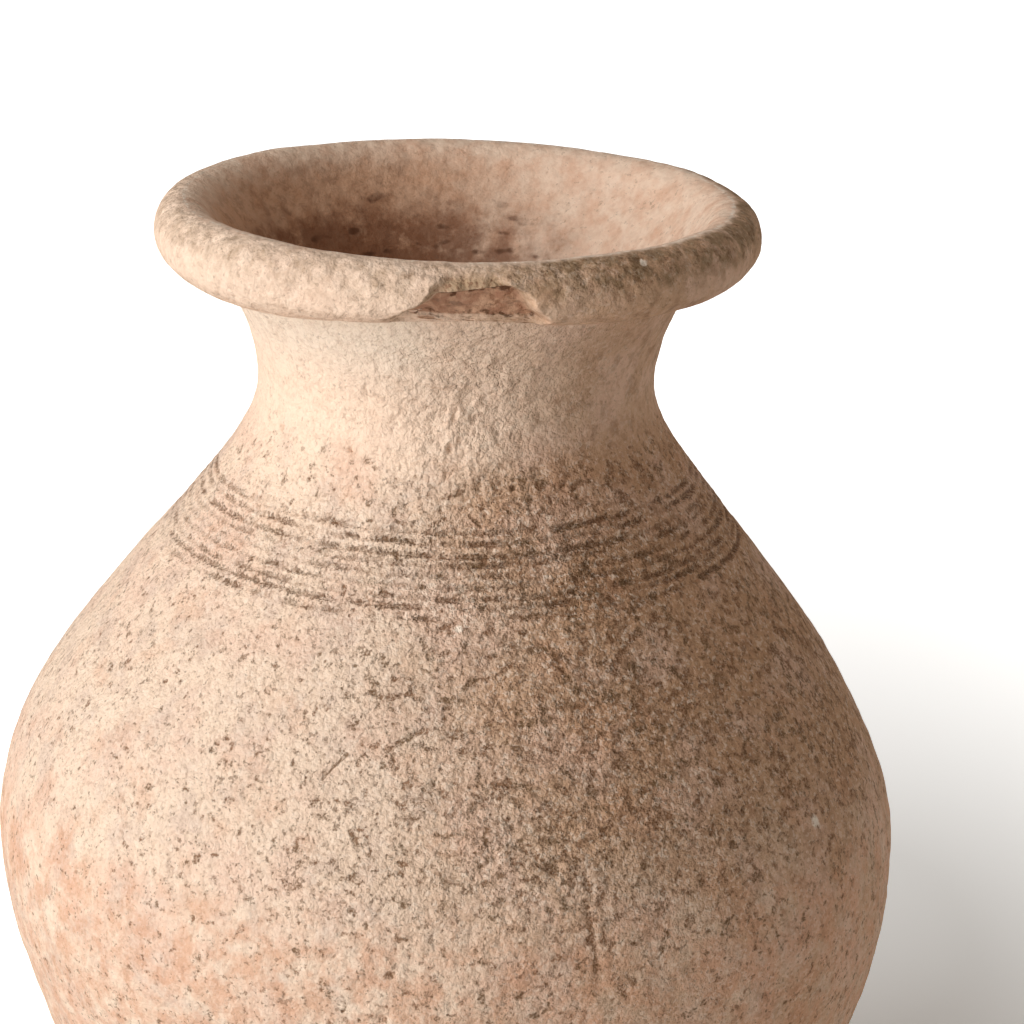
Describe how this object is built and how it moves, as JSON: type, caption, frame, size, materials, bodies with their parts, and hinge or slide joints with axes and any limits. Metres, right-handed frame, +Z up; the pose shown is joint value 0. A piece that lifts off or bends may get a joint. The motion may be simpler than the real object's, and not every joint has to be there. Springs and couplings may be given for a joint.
{
  "type": "terracotta jar",
  "caption": "Small ovoid terracotta jar with combed shoulder, narrow neck, funnel mouth and a thick folded rim collar with a broken-out flake.",
  "frame": {"origin": "centre of the flat base, on the surface that the jar stands on", "axes": "+Z up along the jar's turning axis, -Y towards the front, where the collar is chipped"},
  "size_m": [0.1298, 0.1298, 0.168],
  "materials": {
    "body_clay": "matt, low-fired, gritty and weathered",
    "neck_clay": "matt, low-fired, pale, flaked in places",
    "rim_clay": "matt, low-fired, worn, darker patina"
  },
  "bodies": {
    "root": {"base_disc": "body_clay", "lower_body": "body_clay", "upper_body": "body_clay", "neck": "neck_clay", "rim_collar": "rim_clay"}
  },
  "joints": []
}
